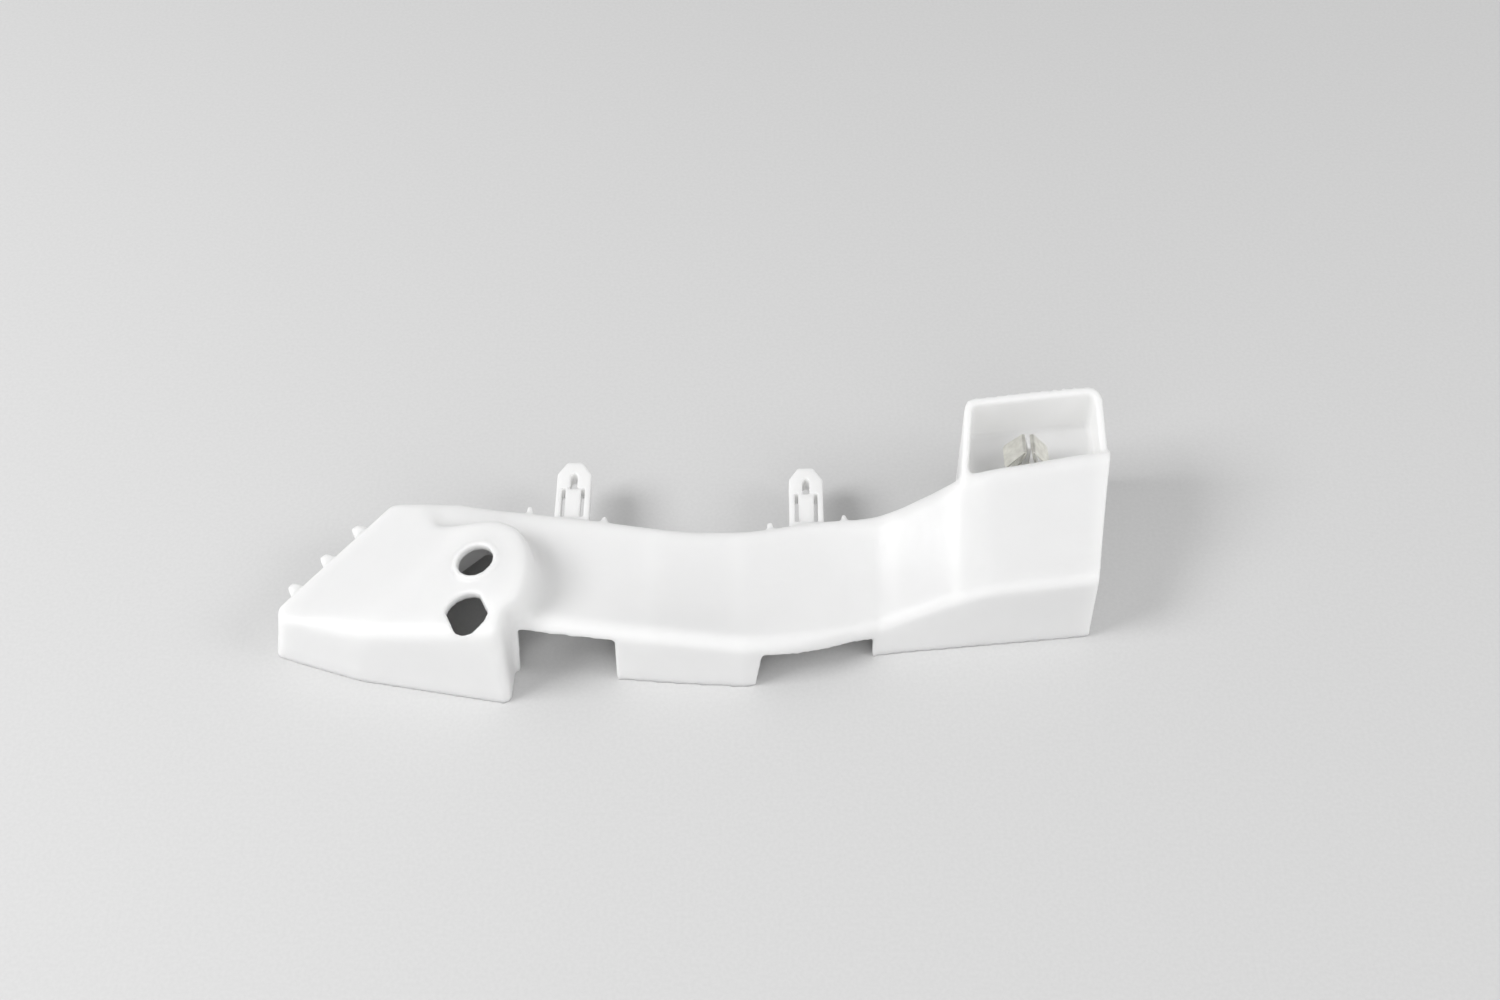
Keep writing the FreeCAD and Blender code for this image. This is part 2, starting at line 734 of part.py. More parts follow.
def lower_slot():
    """The round hole with two flats in front of the bore."""
    round_part = doc.addObject("Part::Cylinder", "slot_round")
    bind(round_part, Radius="slot_diameter / 2", Height="wall * 6")
    flats = doc.addObject("Part::Box", "slot_flats_block")
    bind(flats, Length="slot_flats", Width="slot_diameter * 2", Height="wall * 6")
    flats.Placement.Base = Vector(0 - size("slot_flats") / 2, 0 - size("slot_diameter"), 0)
    drill = joined("Part::MultiCommon", "slot_drill", [round_part, flats])
    place = tilted("slot_x", "slot_y", "slot_height")
    spin = FreeCAD.Placement(Vector(0, 0, 0 - 3 * size("wall")),
                             FreeCAD.Rotation(Vector(0, 0, 1), size("slot_turn")))
    drill.Placement = place.multiply(spin)
    return drill


def blade():
    """The moulded blade that stands on the pocket floor and carries the spring clip."""
    body = new_body("blade")
    sketch = new_sketch(body, "blade_outline", "XZ_Plane")
    half = "blade_thickness / 2"
    tip = "blade_thickness / 4"
    polygon(sketch, [
        ("0 - " + half, "0 - wall / 2"), (half, "0 - wall / 2"),
        (half, "blade_height - blade_thickness"), (tip, "blade_height"),
        ("0 - " + tip, "blade_height"), ("0 - " + half, "blade_height - blade_thickness")])
    add_pad(body, "blade_pad", sketch, "blade_width", True)
    body.Placement = clip_place("0")
    return body


def clip_place(lift):
    """Where the clip and its blade stand in the pocket, turned with the pocket."""
    slope = ("(pocket_front_right_y - pocket_front_left_y)"
             " / (pocket_front_right_x - pocket_front_left_x)")
    front = "pocket_front_left_y + (clip_x - pocket_front_left_x) * " + slope
    return FreeCAD.Placement(
        Vector(size("clip_x"), number(front + " + clip_setback"), number("pocket_floor + " + lift)),
        FreeCAD.Rotation(Vector(0, 0, 1), size("end_yaw")))


def ribs():
    """Stiffening ribs under the channel and one slanting rib under the head."""
    blocks = []
    for name in RIB_PLACES:
        rib = doc.addObject("Part::Box", name)
        bind(rib, Length="rib_thickness", Width="rib_back_y - rib_front_y",
             Height="rim_height - rib_bottom",
             Placement__Base__x=name + "_x - rib_thickness / 2",
             Placement__Base__y="rib_front_y", Placement__Base__z="rib_bottom")
        blocks.append(rib)
    slanting = doc.addObject("Part::Box", "slanting_rib")
    bind(slanting, Length="slanting_length", Width="rib_thickness",
         Height="rim_height - slanting_bottom")
    slanting.Placement = FreeCAD.Placement(
        Vector(size("slanting_x"), size("slanting_y"), size("slanting_bottom")),
        FreeCAD.Rotation(Vector(0, 0, 1), 45))
    blocks.append(slanting)
    return blocks


def moulding():
    """The whole plastic bracket as one solid."""
    channel = channel_form("channel", "0", "0", True)
    inner_channel = channel_form("inner_channel", "wall", "0 - below", True)
    head_outer, head_inner = head_forms()
    pocket_outer, pocket_under, pocket_cavity = pocket_forms()
    outer = joined("Part::MultiFuse", "outer", [channel, head_outer, pocket_outer])
    inner = joined("Part::MultiFuse", "inner", [inner_channel, head_inner, pocket_under])
    shell = cut("shell", outer, inner)
    rib_block = joined("Part::MultiFuse", "rib_block", ribs())
    rib_parts = joined("Part::MultiCommon", "rib_parts", [rib_block, inner])
    ring, drill = upper_bore()
    added = [shell, ring, rib_parts, snap_tower("tower_left", "left"),
             snap_tower("tower_right", "right")] + nubs() + teeth()
    solid = joined("Part::MultiFuse", "solid", added)
    tools = joined("Part::MultiFuse", "cutters",
                   arches() + [drill, lower_slot(), pocket_cavity])
    opened = cut("opened", solid, tools)
    whole = joined("Part::MultiFuse", "bracket_moulding", [opened, blade()])
    whole.Label = "bracket_moulding"
    return whole


def spring_clip():
    """One folded steel strip: foot, two inner legs and two leaves that hang outwards."""
    body = new_body("spring_clip")
    path = new_sketch(body, "strip_path", "XZ_Plane")
    half = "strip_thickness / 2"
    points = [
        ("0 - leaf_half", "clip_height - leaf_drop"),
        ("0 - clip_apex_half", "clip_height"),
        ("0 - clip_foot_half", half),
        ("clip_foot_half", half),
        ("clip_apex_half", "clip_height"),
        ("leaf_half", "clip_height - leaf_drop")]
    outline = strip_outline([at(point) for point in points], size("strip_thickness"))
    for index, point in enumerate(outline):
        following = outline[(index + 1) % len(outline)]
        path.addGeometry(Part.LineSegment(point, following), False)
    add_pad(body, "strip", path, "strip_width", True)
    slot = new_sketch(body, "strip_slot", "XY_Plane")
    slot_half = "blade_thickness / 2 + clip_clearance"
    slot_long = "blade_width / 2 + clip_clearance"
    polygon(slot, [
        ("0 - (%s)" % slot_half, "0 - (%s)" % slot_long), (slot_half, "0 - (%s)" % slot_long),
        (slot_half, slot_long), ("0 - (%s)" % slot_half, slot_long)])
    add_pocket(body, "blade_slot", slot, "strip_thickness * 4", True)
    body.Placement = clip_place("clip_clearance")
    return body


def strip_outline(points, thickness):
    """The closed outline of a strip that follows a bent path, half its thickness each side."""
    sides = []
    for side in (1, -1):
        row = []
        for index, point in enumerate(points):
            before = (point - points[index - 1]).normalize() if index else None
            after = (points[index + 1] - point).normalize() if index + 1 < len(points) else None
            before = before or after
            after = after or before
            across = Vector(-before.y - after.y, before.x + after.x, 0).normalize()
            square = Vector(-before.y, before.x, 0)
            row.append(point + across * (side * thickness / 2 / across.dot(square)))
        sides.append(row)
    return sides[0] + sides[1][::-1]


def centre_on_base(parts):
    """Moves every part so that the origin is under the middle of the whole bracket."""
    doc.recompute()
    box = Part.makeCompound([part.Shape for part in parts]).optimalBoundingBox()
    for part in parts:
        place = part.Placement
        place.Base = place.Base - Vector(box.Center.x, box.Center.y, box.ZMin)
        part.Placement = place


def write_parts(parts):
    """Checks every object and writes one STEP file for each sub-part."""
    doc.recompute()
    for thing in doc.Objects:
        if "Invalid" in thing.State or "Error" in thing.State:
            raise RuntimeError("%s failed: %s" % (thing.Label, thing.State))
    os.makedirs("parts", exist_ok=True)
    for part in parts:
        if part.Shape.isNull() or not part.Shape.isValid():
            raise RuntimeError("%s has no valid shape" % part.Label)
        part.Shape.exportStep("parts/%s.step" % part.Label)
        print(part.Label, "solids", len(part.Shape.Solids), "volume", round(part.Shape.Volume, 1))


fill_sheet()
pieces = [moulding(), spring_clip()]
centre_on_base(pieces)
write_parts(pieces)
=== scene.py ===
import json
import math

import bpy
from bpy.props import FloatProperty, FloatVectorProperty, IntProperty, PointerProperty
from bpy.types import Operator, Panel, PropertyGroup
from mathutils import Matrix, Vector


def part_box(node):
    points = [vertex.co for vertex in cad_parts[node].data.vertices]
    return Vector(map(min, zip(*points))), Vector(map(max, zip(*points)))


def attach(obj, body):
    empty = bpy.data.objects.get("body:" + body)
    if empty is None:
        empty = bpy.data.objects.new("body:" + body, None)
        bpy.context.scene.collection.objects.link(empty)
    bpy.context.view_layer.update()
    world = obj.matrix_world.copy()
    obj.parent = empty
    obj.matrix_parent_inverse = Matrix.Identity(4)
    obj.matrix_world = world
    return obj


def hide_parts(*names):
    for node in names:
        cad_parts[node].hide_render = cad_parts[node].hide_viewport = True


bl_info = {
    "name": "Bumper bracket",
    "version": (1, 0, 0),
    "blender": (4, 5, 0),
    "location": "3D View > Sidebar > Bumper bracket",
    "description": "Finishes the moulded bumper bracket and its spring clip, with floor, light and camera",
    "category": "Object",
}

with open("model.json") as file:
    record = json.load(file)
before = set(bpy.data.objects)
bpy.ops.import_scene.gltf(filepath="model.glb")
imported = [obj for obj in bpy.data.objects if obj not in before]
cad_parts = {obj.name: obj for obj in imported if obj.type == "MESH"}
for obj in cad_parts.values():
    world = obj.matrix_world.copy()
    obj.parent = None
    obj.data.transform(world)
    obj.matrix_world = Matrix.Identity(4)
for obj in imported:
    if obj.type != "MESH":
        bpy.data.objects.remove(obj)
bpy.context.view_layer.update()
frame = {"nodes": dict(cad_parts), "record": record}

MM = 0.001
TOUCHING = 0.01 * MM


# Materials: the size of each pattern in lumps per metre, and how far the gloss strays

PLASTIC_CLOUD = 38.0
PLASTIC_FLOW = 120.0
PLASTIC_GRAIN = 2600.0
PLASTIC_STRAY = 0.05
PLASTIC_GLOW = 4.5 * MM
STEEL_CAST = 420.0
STEEL_LINES = (300.0, 9000.0, 300.0)
STEEL_STRAY = 0.08
PAPER_FIBRE = 900.0


def new_material(name):
    """An empty node material with a principled shader wired to its output."""
    material = bpy.data.materials.new(name)
    material.use_nodes = True
    tree = material.node_tree
    tree.nodes.clear()
    output = tree.nodes.new("ShaderNodeOutputMaterial")
    shader = tree.nodes.new("ShaderNodeBsdfPrincipled")
    tree.links.new(shader.outputs["BSDF"], output.inputs["Surface"])
    return material, tree, shader


def object_noise(tree, scale, detail, roughness=0.5):
    """Noise that reads the piece's own Object coordinates, with its scale in lumps per metre."""
    coordinates = tree.nodes.new("ShaderNodeTexCoord")
    noise = tree.nodes.new("ShaderNodeTexNoise")
    noise.inputs["Scale"].default_value = scale
    noise.inputs["Detail"].default_value = detail
    noise.inputs["Roughness"].default_value = roughness
    tree.links.new(coordinates.outputs["Object"], noise.inputs["Vector"])
    return noise


def ramp(tree, source, low, high, start=0.3, end=0.7):
    """A colour ramp between two colours, fed by a factor."""
    node = tree.nodes.new("ShaderNodeValToRGB")
    node.color_ramp.elements[0].position = start
    node.color_ramp.elements[0].color = (*low, 1.0)
    node.color_ramp.elements[1].position = end
    node.color_ramp.elements[1].color = (*high, 1.0)
    tree.links.new(source, node.inputs["Fac"])
    return node


def bump(tree, height, strength, distance, under=None):
    """A bump node, laid over another one where that is given."""
    node = tree.nodes.new("ShaderNodeBump")
    node.inputs["Strength"].default_value = strength
    node.inputs["Distance"].default_value = distance
    tree.links.new(height, node.inputs["Height"])
    if under is not None:
        tree.links.new(under.outputs["Normal"], node.inputs["Normal"])
    return node


def white_plastic(look):
    """White moulded plastic: slightly cloudy, with the faint grain of a fine-blasted mould."""
    material, tree, shader = new_material("white_plastic")
    cloud = object_noise(tree, PLASTIC_CLOUD, 3.0)
    colour = ramp(tree, cloud.outputs["Fac"], look.plastic_shade, look.plastic_colour)
    tree.links.new(colour.outputs["Color"], shader.inputs["Base Color"])
    grain = object_noise(tree, PLASTIC_GRAIN, 2.0)
    flow = object_noise(tree, PLASTIC_FLOW, 2.0)
    waves = bump(tree, flow.outputs["Fac"], 0.10, 0.0006)
    skin = bump(tree, grain.outputs["Fac"], 0.12, 0.00006, waves)
    tree.links.new(skin.outputs["Normal"], shader.inputs["Normal"])
    gloss = tree.nodes.new("ShaderNodeMapRange")
    gloss.inputs["To Min"].default_value = look.plastic_roughness - PLASTIC_STRAY
    gloss.inputs["To Max"].default_value = look.plastic_roughness + PLASTIC_STRAY
    tree.links.new(flow.outputs["Fac"], gloss.inputs["Value"])
    tree.links.new(gloss.outputs["Result"], shader.inputs["Roughness"])
    shader.inputs["Subsurface Weight"].default_value = 1.0
    shader.inputs["Subsurface Radius"].default_value = (1.0, 1.0, 0.98)
    shader.inputs["Subsurface Scale"].default_value = PLASTIC_GLOW
    shader.inputs["IOR"].default_value = 1.49
    return material


def spring_steel(look):
    """Rolled spring steel: fine lines along the strip and a slightly yellow, uneven cast."""
    material, tree, shader = new_material("spring_steel")
    cast = object_noise(tree, STEEL_CAST, 4.0)
    colour = ramp(tree, cast.outputs["Fac"], look.steel_shade, look.steel_colour)
    tree.links.new(colour.outputs["Color"], shader.inputs["Base Color"])
    coordinates = tree.nodes.new("ShaderNodeTexCoord")
    stretch = tree.nodes.new("ShaderNodeMapping")
    stretch.inputs["Scale"].default_value = STEEL_LINES
    tree.links.new(coordinates.outputs["Object"], stretch.inputs["Vector"])
    lines = tree.nodes.new("ShaderNodeTexNoise")
    lines.inputs["Scale"].default_value = 1.0
    tree.links.new(stretch.outputs["Vector"], lines.inputs["Vector"])
    rolled = bump(tree, lines.outputs["Fac"], 0.2, 0.00004)
    tree.links.new(rolled.outputs["Normal"], shader.inputs["Normal"])
    gloss = tree.nodes.new("ShaderNodeMapRange")
    gloss.inputs["To Min"].default_value = look.steel_roughness - STEEL_STRAY
    gloss.inputs["To Max"].default_value = look.steel_roughness + STEEL_STRAY
    tree.links.new(lines.outputs["Fac"], gloss.inputs["Value"])
    tree.links.new(gloss.outputs["Result"], shader.inputs["Roughness"])
    shader.inputs["Metallic"].default_value = 1.0
    return material


def paper_floor(look):
    """Pale grey backdrop paper with a fine fibre."""
    material, tree, shader = new_material("backdrop_paper")
    fibre = object_noise(tree, PAPER_FIBRE, 6.0)
    colour = ramp(tree, fibre.outputs["Fac"], look.floor_shade, look.floor_colour, 0.35, 0.65)
    tree.links.new(colour.outputs["Color"], shader.inputs["Base Color"])
    shader.inputs["Roughness"].default_value = 0.9
    shader.inputs["Specular IOR Level"].default_value = 0.2
    return material


def give(node, material):
    """Puts a material in every slot of an object, and adds one where it has none."""
    if not node.material_slots:
        node.data.materials.append(material)
    for slot in node.material_slots:
        slot.material = material


# Settings

class LookSettings(PropertyGroup):
    plastic_colour: FloatVectorProperty(
        name="Plastic", description="Lighter colour of the white plastic", subtype="COLOR",
        size=3, min=0.0, max=1.0, default=(0.86, 0.86, 0.855))
    plastic_shade: FloatVectorProperty(
        name="Plastic shade", description="Darker colour in the cloudy plastic", subtype="COLOR",
        size=3, min=0.0, max=1.0, default=(0.84, 0.84, 0.835))
    plastic_roughness: FloatProperty(
        name="Plastic roughness", description="Roughness of the moulded skin",
        min=0.1, max=1.0, default=0.42)
    first_grid: FloatProperty(
        name="First grid", description="Grid on which the large roundings are made",
        unit="LENGTH", default=0.5 * MM)
    last_grid: FloatProperty(
        name="Last grid", description="Grid of the finished skin", unit="LENGTH", default=0.5 * MM)
    skin_rounds: IntProperty(
        name="Skin rounds", description="Rounds of smoothing over the whole skin", default=6)
    triangles: IntProperty(
        name="Triangles", description="Triangles of the finished skin", default=190000)
    hook_grid: FloatProperty(
        name="Hook grid", description="Grid of the snap hooks", unit="LENGTH", default=0.25 * MM)
    strip_width: FloatProperty(
        name="Strip width", description="Width of the clip's strip", unit="LENGTH", default=7.2 * MM)
    strip_thickness: FloatProperty(
        name="Strip thickness", description="Thickness of the clip's strip",
        unit="LENGTH", default=0.5 * MM)
    leaf_reach: FloatProperty(
        name="Leaf reach", description="How far each leaf's tip stands from the clip's middle",
        unit="LENGTH", default=6.6 * MM)
    leaf_drop: FloatProperty(
        name="Leaf drop", description="How far each leaf hangs below the clip's top",
        unit="LENGTH", default=6.4 * MM)
    steel_colour: FloatVectorProperty(
        name="Steel", description="Lighter colour of the spring steel", subtype="COLOR",
        size=3, min=0.0, max=1.0, default=(0.87, 0.865, 0.81))
    steel_shade: FloatVectorProperty(
        name="Steel shade", description="Darker colour of the spring steel", subtype="COLOR",
        size=3, min=0.0, max=1.0, default=(0.7, 0.69, 0.64))
    steel_roughness: FloatProperty(
        name="Steel roughness", description="Roughness of the rolled strip",
        min=0.1, max=1.0, default=0.38)
    floor_colour: FloatVectorProperty(
        name="Floor", description="Lighter colour of the backdrop paper", subtype="COLOR",
        size=3, min=0.0, max=1.0, default=(0.665, 0.665, 0.665))
    floor_shade: FloatVectorProperty(
        name="Floor shade", description="Darker colour of the backdrop paper", subtype="COLOR",
        size=3, min=0.0, max=1.0, default=(0.64, 0.64, 0.64))


class StudioSettings(PropertyGroup):
    camera_place: FloatVectorProperty(
        name="Camera", description="Where the camera stands", subtype="TRANSLATION", unit="LENGTH",
        size=3, default=(0.016719, -0.375795, 0.489948))
    camera_lens: FloatProperty(
        name="Lens", description="Focal length of the camera in millimetres", default=48.0)
    camera_down: FloatProperty(
        name="Looking down", description="How far the camera looks below the horizon",
        subtype="ANGLE", default=math.radians(50.0))
    light_reach: FloatProperty(
        name="Light distance", description="How far each lamp stands from the bracket",
        unit="LENGTH", default=1.3)
    side_size: FloatProperty(
        name="Side lamp size", description="Width of each square lamp at the sides",
        unit="LENGTH", default=0.55)
    left_power: FloatProperty(
        name="Left lamp", description="Power of the left lamp in watts", default=9.4)
    right_power: FloatProperty(
        name="Right lamp", description="Power of the right lamp in watts", default=3.6)
    front_size: FloatProperty(
        name="Front lamp size", description="Width of the large square lamp in front",
        unit="LENGTH", default=1.6)
    front_power: FloatProperty(
        name="Front lamp", description="Power of the front lamp in watts", default=5.5)
    world_level: FloatProperty(
        name="World", description="Brightness of the white room round the set", default=0.5)
    floor_size: FloatProperty(
        name="Floor size", description="Width of the paper floor", unit="LENGTH", default=6.0)


# Operators

class BRACKET_OT_moulding(Operator):
    """Finishes the white moulding"""
    bl_idname = "bracket.moulding"
    bl_label = "Moulding"

    def execute(self, context):
        look = context.scene.bracket_look
        skin = merged_copy(frame["nodes"]["bracket_moulding"], "white_moulding")
        hooks = [hook_copy(skin, hook) for hook in HOOKS]
        for hole in HOLES:
            plug(skin, hole)
        voxel_skin(skin, look.first_grid)
        for blend in BLENDS:
            soften(skin, blend)
        for hook in HOOKS:
            combine(skin, hook_room(hook, 0), "DIFFERENCE")
        for hole in HOLES:
            if hole["ring"]:
                add_ring(skin, hole)
            drill(skin, hole)
        voxel_skin(skin, look.last_grid)
        smooth_all(skin, look.skin_rounds)
        for hook in hooks:
            voxel_skin(hook, look.hook_grid)
            smooth_all(hook, look.skin_rounds)
            combine(skin, hook, "UNION")
        thin_out(skin, look.triangles)
        bpy.ops.object.shade_smooth()
        give(skin, white_plastic(look))
        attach(skin, "root")
        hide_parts("bracket_moulding")
        return {"FINISHED"}


def mount(name):
    """Place and axis that the record states for a mount."""
    stated = next(item for item in frame["record"]["mounts"] if item["name"] == name)
    return Vector(stated["pos_m"]), Vector(stated["axis"])


# The two holes of the head: mount, radius, distance between the flats, turn of the flats

HOLES = (
    {"mount": "upper_bore", "radius": 5.5 * MM, "flats": 0.0, "turn": 0.0, "ring": True},
    {"mount": "flatted_hole", "radius": 6.6 * MM, "flats": 10.8 * MM, "turn": 26.0, "ring": False},
)

# Where the moulding is rounder than sharp corners: spots as centre and reach, and rounds of smoothing

BLENDS = (
    {
        "name": "plateau_side",
        "rounds": 220,
        "spots": (
            ((-49 * MM, -12 * MM, 27 * MM), (16 * MM, 26 * MM, 14 * MM)),
            ((-64 * MM, 4 * MM, 28 * MM), (18 * MM, 13 * MM, 12 * MM)),
            ((-80 * MM, 9 * MM, 27 * MM), (14 * MM, 9 * MM, 10 * MM)),
        ),
    },
    {
        "name": "head_front",
        "rounds": 240,
        "spots": (
            ((-62 * MM, -38 * MM, 27 * MM), (16 * MM, 11 * MM, 9 * MM)),
            ((-80 * MM, -37 * MM, 25 * MM), (22 * MM, 11 * MM, 10 * MM)),
            ((-100 * MM, -33 * MM, 22 * MM), (22 * MM, 12 * MM, 10 * MM)),
        ),
    },
    {
        "name": "ramp",
        "rounds": 130,
        "spots": (
            ((54 * MM, -6 * MM, 24 * MM), (17 * MM, 34 * MM, 18 * MM)),
            ((64 * MM, 4 * MM, 38 * MM), (15 * MM, 17 * MM, 12 * MM)),
        ),
    },
    {
        "name": "channel",
        "rounds": 60,
        "spots": (
            ((-10 * MM, -8 * MM, 26 * MM), (60 * MM, 34 * MM, 19 * MM)),
            ((70 * MM, 4 * MM, 34 * MM), (48 * MM, 36 * MM, 22 * MM)),
        ),
    },
)

# The two snap hooks: middle along the bracket, where each leaves the back edge, and its top there

HOOKS = ((-38.0 * MM, 14.4 * MM, 18.2 * MM), (34.1 * MM, 14.6 * MM, 15.6 * MM))
HOOK_ROOM = 13.0 * MM
HOOK_BACK = 60.0 * MM
HOOK_LOW = -1.0 * MM
HOOK_ROOT = 3.2 * MM


def pick_only(thing):
    """Makes one object the only selected and the active one."""
    bpy.ops.object.select_all(action="DESELECT")
    thing.select_set(True)
    bpy.context.view_layer.objects.active = thing


def merged_copy(node, name):
    """A new piece with a CAD node's mesh, its loose triangles joined up."""
    piece = bpy.data.objects.new(name, node.data.copy())
    bpy.context.scene.collection.objects.link(piece)
    pick_only(piece)
    bpy.ops.object.mode_set(mode="EDIT")
    bpy.ops.mesh.select_all(action="SELECT")
    bpy.ops.mesh.remove_doubles(threshold=TOUCHING)
    bpy.ops.object.mode_set(mode="OBJECT")
    return piece


def apply_modifier(piece, kind, **settings):
    """Adds a modifier to a piece, sets it and applies it."""
    pick_only(piece)
    bpy.ops.object.modifier_add(type=kind)
    modifier = piece.modifiers[-1]
    for name, value in settings.items():
        setattr(modifier, name, value)
    bpy.ops.object.modifier_apply(modifier=modifier.name)


SMOOTH_SHARE = 0.5


def smooth_all(piece, rounds):
    """Takes the sharpness off the whole piece."""
    apply_modifier(piece, "SMOOTH", factor=SMOOTH_SHARE, iterations=rounds)


def box(low, high):
    """A closed box between two corners."""
    bpy.ops.object.select_all(action="DESELECT")
    bpy.ops.mesh.primitive_cube_add(
        size=1.0,
        location=[(a + b) / 2 for a, b in zip(low, high)],
        scale=[b - a for a, b in zip(low, high)])
    return bpy.context.object


def hook_room(hook, inwards):
    """The space behind the back edge that a snap hook takes up, reaching inwards by so much."""
    middle, root, top = hook
    return box(
        (middle - HOOK_ROOM / 2, root - inwards, HOOK_LOW),
        (middle + HOOK_ROOM / 2, HOOK_BACK, top))


def hook_copy(skin, hook):
    """A copy of one snap hook and its root, which can have a finer grid than the skin."""
    piece = merged_copy(skin, "snap_hook")
    combine(piece, hook_room(hook, HOOK_ROOT), "INTERSECT")
    return piece


def combine(piece, other, operation):
    """Cuts, trims or unites a piece with another object, which is then deleted."""
    apply_modifier(piece, "BOOLEAN", operation=operation, object=other, solver="MANIFOLD")
    bpy.data.objects.remove(other)


def take_in(piece, other):
    """Joins another object into a piece."""
    pick_only(piece)
    other.select_set(True)
    bpy.ops.object.join()


def voxel_skin(piece, grid):
    """Draws the piece's skin again as one even grid."""
    apply_modifier(piece, "REMESH", mode="VOXEL", voxel_size=grid)


def thin_out(piece, triangles):
    """Brings the piece down to a number of triangles."""
    piece.data.calc_loop_triangles()
    share = triangles / len(piece.data.loop_triangles)
    if share < 1:
        apply_modifier(piece, "DECIMATE", ratio=share)


def soften(piece, blend):
    """Rounds the piece off inside a blend's spots, full in their middle and nothing at their edge."""
    group = piece.vertex_groups.new(name=blend["name"])
    for vertex in piece.data.vertices:
        weight = max(spot_weight(vertex.co, *spot) for spot in blend["spots"])
        if weight > 0:
            group.add((vertex.index,), weight, "REPLACE")
    apply_modifier(
        piece, "SMOOTH", factor=SMOOTH_SHARE, iterations=blend["rounds"],
        vertex_group=blend["name"])
    piece.vertex_groups.clear()


def spot_weight(place, centre, reach):
    """One in the inner half of a spot, easing to nothing at its edge."""
    away = math.sqrt(sum(((p - c) / r) ** 2 for p, c, r in zip(place, centre, reach)))
    inside = min(max(2.0 - 2.0 * away, 0.0), 1.0)
    return inside * inside * (3.0 - 2.0 * inside)


# Discs on a hole: how much wider than the hole, and their lower and upper face over its middle

DISC_SIDES = 96
PLUG = (0.6 * MM, -1.2 * MM, 1.1 * MM)
RING = (1.3 * MM, -0.5 * MM, 1.6 * MM)
CUTTER = (0.0, -1.0 * MM, 6.0 * MM)
FLARE_DEPTH = 6.0 * MM
FLARE_LEAN = 0.7
FLARE_SPREAD = 1.1


def along(axis):
    """The turn that lays an object's own Z on an axis."""
    return Vector((0, 0, 1)).rotation_difference(axis).to_euler()


def disc(hole, wider, low, high):
    """A closed disc on a hole's axis between two heights over its middle."""
    place, axis = mount(hole["mount"])
    bpy.ops.object.select_all(action="DESELECT")
    bpy.ops.mesh.primitive_cylinder_add(
        vertices=DISC_SIDES, radius=hole["radius"] + wider, depth=high - low,
        location=place + axis * (low + high) / 2, rotation=along(axis))
    piece = bpy.context.object
    pick_only(piece)
    bpy.ops.object.transform_apply(location=True, rotation=True, scale=True)
    return piece


def plug(piece, hole):
    """Fills a hole to the level of the skin round it, so that the skin can be rounded off first."""
    take_in(piece, disc(hole, *PLUG))


def add_ring(piece, hole):
    """Raised ring round a hole's mouth."""
    take_in(piece, disc(hole, *RING))


def drill(piece, hole):
    """Cuts a hole that opens out below its mouth."""
    cutter = disc(hole, *CUTTER)
    if hole["flats"]:
        square_off(cutter, hole)
    flare(cutter, hole)
    combine(piece, cutter, "DIFFERENCE")


def square_off(cutter, hole):
    """Gives a hole's cutter its two flats."""
    place, axis = mount(hole["mount"])
    sideways = Matrix.Rotation(math.radians(hole["turn"]), 3, axis) @ Vector((1, 0, 0))
    pick_only(cutter)
    bpy.ops.object.mode_set(mode="EDIT")
    for side in (-1, 1):
        bpy.ops.mesh.select_all(action="SELECT")
        bpy.ops.mesh.bisect(
            plane_co=place + sideways * side * hole["flats"] / 2, plane_no=sideways * side,
            use_fill=True, clear_outer=True)
    bpy.ops.object.mode_set(mode="OBJECT")


def flare(cutter, hole):
    """Draws the lower face of a hole's cutter down, back and apart, so that its mouth is thin."""
    place, axis = mount(hole["mount"])
    pick_only(cutter)
    bpy.ops.object.mode_set(mode="EDIT")
    bpy.ops.mesh.select_all(action="DESELECT")
    bpy.ops.object.mode_set(mode="OBJECT")
    low = min((vertex.co - place).dot(axis) for vertex in cutter.data.vertices)
    for face in cutter.data.polygons:
        face.select = all(
            (cutter.data.vertices[i].co - place).dot(axis) < low + TOUCHING for i in face.vertices)
    step = axis * -FLARE_DEPTH + Vector((0, FLARE_DEPTH * FLARE_LEAN, 0))
    bpy.ops.object.mode_set(mode="EDIT")
    bpy.ops.mesh.select_mode(type="FACE")
    bpy.ops.mesh.extrude_region_move(TRANSFORM_OT_translate={"value": step})
    bpy.ops.transform.resize(
        value=(FLARE_SPREAD, FLARE_SPREAD, FLARE_SPREAD), center_override=place + axis * low + step)
    bpy.ops.object.mode_set(mode="OBJECT")


class BRACKET_OT_clip(Operator):
    """Finishes the spring clip in the pocket"""
    bl_idname = "bracket.clip"
    bl_label = "Spring clip"

    def execute(self, context):
        look = context.scene.bracket_look
        clip = strip_half(look)
        for side in (-1, 1):
            round_leaf(clip, side)
        press_barb(clip)
        apply_modifier(clip, "MIRROR", merge_threshold=TOUCHING)
        slot_foot(clip)
        pick_only(clip)
        bpy.ops.object.mode_set(mode="EDIT")
        bpy.ops.mesh.select_all(action="SELECT")
        bpy.ops.mesh.remove_doubles(threshold=TOUCHING)
        bpy.ops.mesh.normals_make_consistent(inside=False)
        bpy.ops.object.mode_set(mode="OBJECT")
        apply_modifier(clip, "SOLIDIFY", thickness=look.strip_thickness, offset=0.0)
        apply_modifier(
            clip, "BEVEL", width=EDGE_ROUND, segments=2, limit_method="ANGLE",
            angle_limit=math.radians(50))
        set_in_pocket(clip)
        bpy.ops.object.shade_smooth_by_angle(angle=math.radians(40))
        give(clip, spring_steel(look))
        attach(clip, "root")
        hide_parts("spring_clip")
        return {"FINISHED"}


# Folded strip of the clip, its right half: across the pocket and up from its floor

